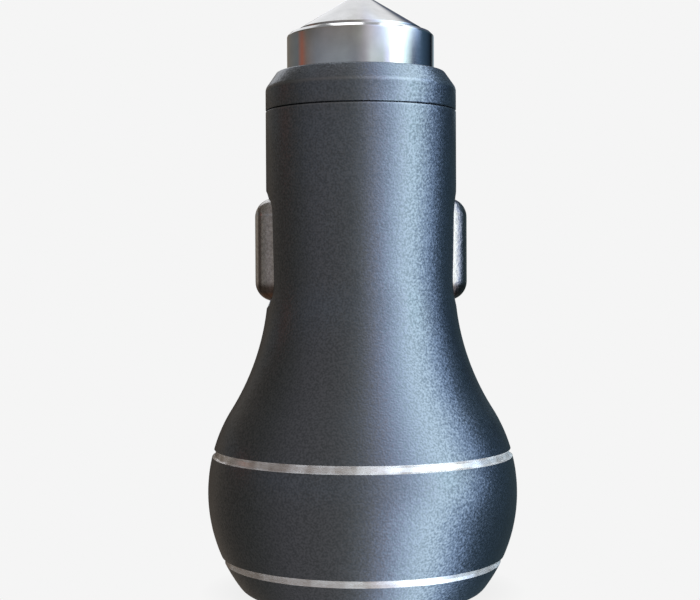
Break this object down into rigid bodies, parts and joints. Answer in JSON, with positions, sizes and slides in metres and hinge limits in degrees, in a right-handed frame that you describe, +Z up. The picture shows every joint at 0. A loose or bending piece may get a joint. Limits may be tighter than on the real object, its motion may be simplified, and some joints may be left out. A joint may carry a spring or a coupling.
{
  "type": "car usb charger plug",
  "caption": "Metal 12 V socket charger plug: round bulb and barrel with cut rings, sprung side contacts, a sprung blunt steel hammer tip, and stacked USB sockets in its base.",
  "frame": {"origin": "centre of the foot rim's plane, on the axis, where the plug stands on its USB end", "axes": "+Z up the axis from the USB end to the hammer tip; X through the two side contacts, with +X to the right one; -Y to the front"},
  "size_m": [0.0334, 0.0334, 0.0649],
  "materials": {
    "anodised_shell": "bead-blasted, blue-grey anodised",
    "polished_steel": "turned and polished stainless steel",
    "nickel_plate": "bright nickel plate",
    "spring_steel": "drawn spring steel",
    "brass": "turned brass",
    "black_plastic": "moulded, fine matt grain",
    "socket_steel": "folded, nickel-plated steel sheet",
    "white_plastic": "moulded",
    "gilt_contact": "gilt spring bronze",
    "board_laminate": "glass laminate under green solder resist",
    "ferrite": "pressed ferrite powder",
    "can_aluminium": "drawn can",
    "chip_mould": "moulded epoxy",
    "fuse_body": "moulded",
    "resistor_body": "glazed ceramic",
    "ceramic": "fired ceramic"
  },
  "bodies": {
    "housing": {"shell": "anodised_shell", "nose_cap": "anodised_shell", "tip_insulator": "black_plastic", "tip_spring": "spring_steel", "positive_terminal": "brass", "inner_frame_front": "black_plastic", "inner_frame_back": "black_plastic", "contact_spring_left": "spring_steel", "contact_spring_right": "spring_steel", "circuit_board": "board_laminate", "usb_shell_front": "socket_steel", "usb_shell_back": "socket_steel", "usb_tongue_front": "white_plastic", "usb_tongue_back": "white_plastic", "usb_contacts_front": "gilt_contact", "usb_contacts_back": "gilt_contact", "face_plate": "black_plastic", "power_inductor": "ferrite", "input_capacitor": "can_aluminium", "output_capacitor": "can_aluminium", "converter_chip": "chip_mould", "controller_chip": "chip_mould", "rectifier_diode": "chip_mould", "resettable_fuse": "fuse_body", "chip_resistors": "resistor_body", "chip_capacitors": "ceramic"},
    "tip": {"hammer_tip": "polished_steel"},
    "left_contact": {"ground_contact_left": "nickel_plate"},
    "right_contact": {"ground_contact_right": "nickel_plate"}
  },
  "joints": [
    {"name": "tip_press", "type": "slide", "parent": "housing", "child": "tip", "axis": [0, 0, -1], "range_m": [0, 0.003], "stiffness_N_per_m": 800, "springref_m": -0.004, "deforming": ["tip_spring"]},
    {"name": "left_contact_press", "type": "slide", "parent": "housing", "child": "left_contact", "axis": [1, 0, 0], "range_m": [0, 0.0012], "stiffness_N_per_m": 2000, "springref_m": -0.0005, "deforming": ["contact_spring_left"]},
    {"name": "right_contact_press", "type": "slide", "parent": "housing", "child": "right_contact", "axis": [-1, 0, 0], "range_m": [0, 0.0012], "stiffness_N_per_m": 2000, "springref_m": -0.0005, "deforming": ["contact_spring_right"]}
  ]
}
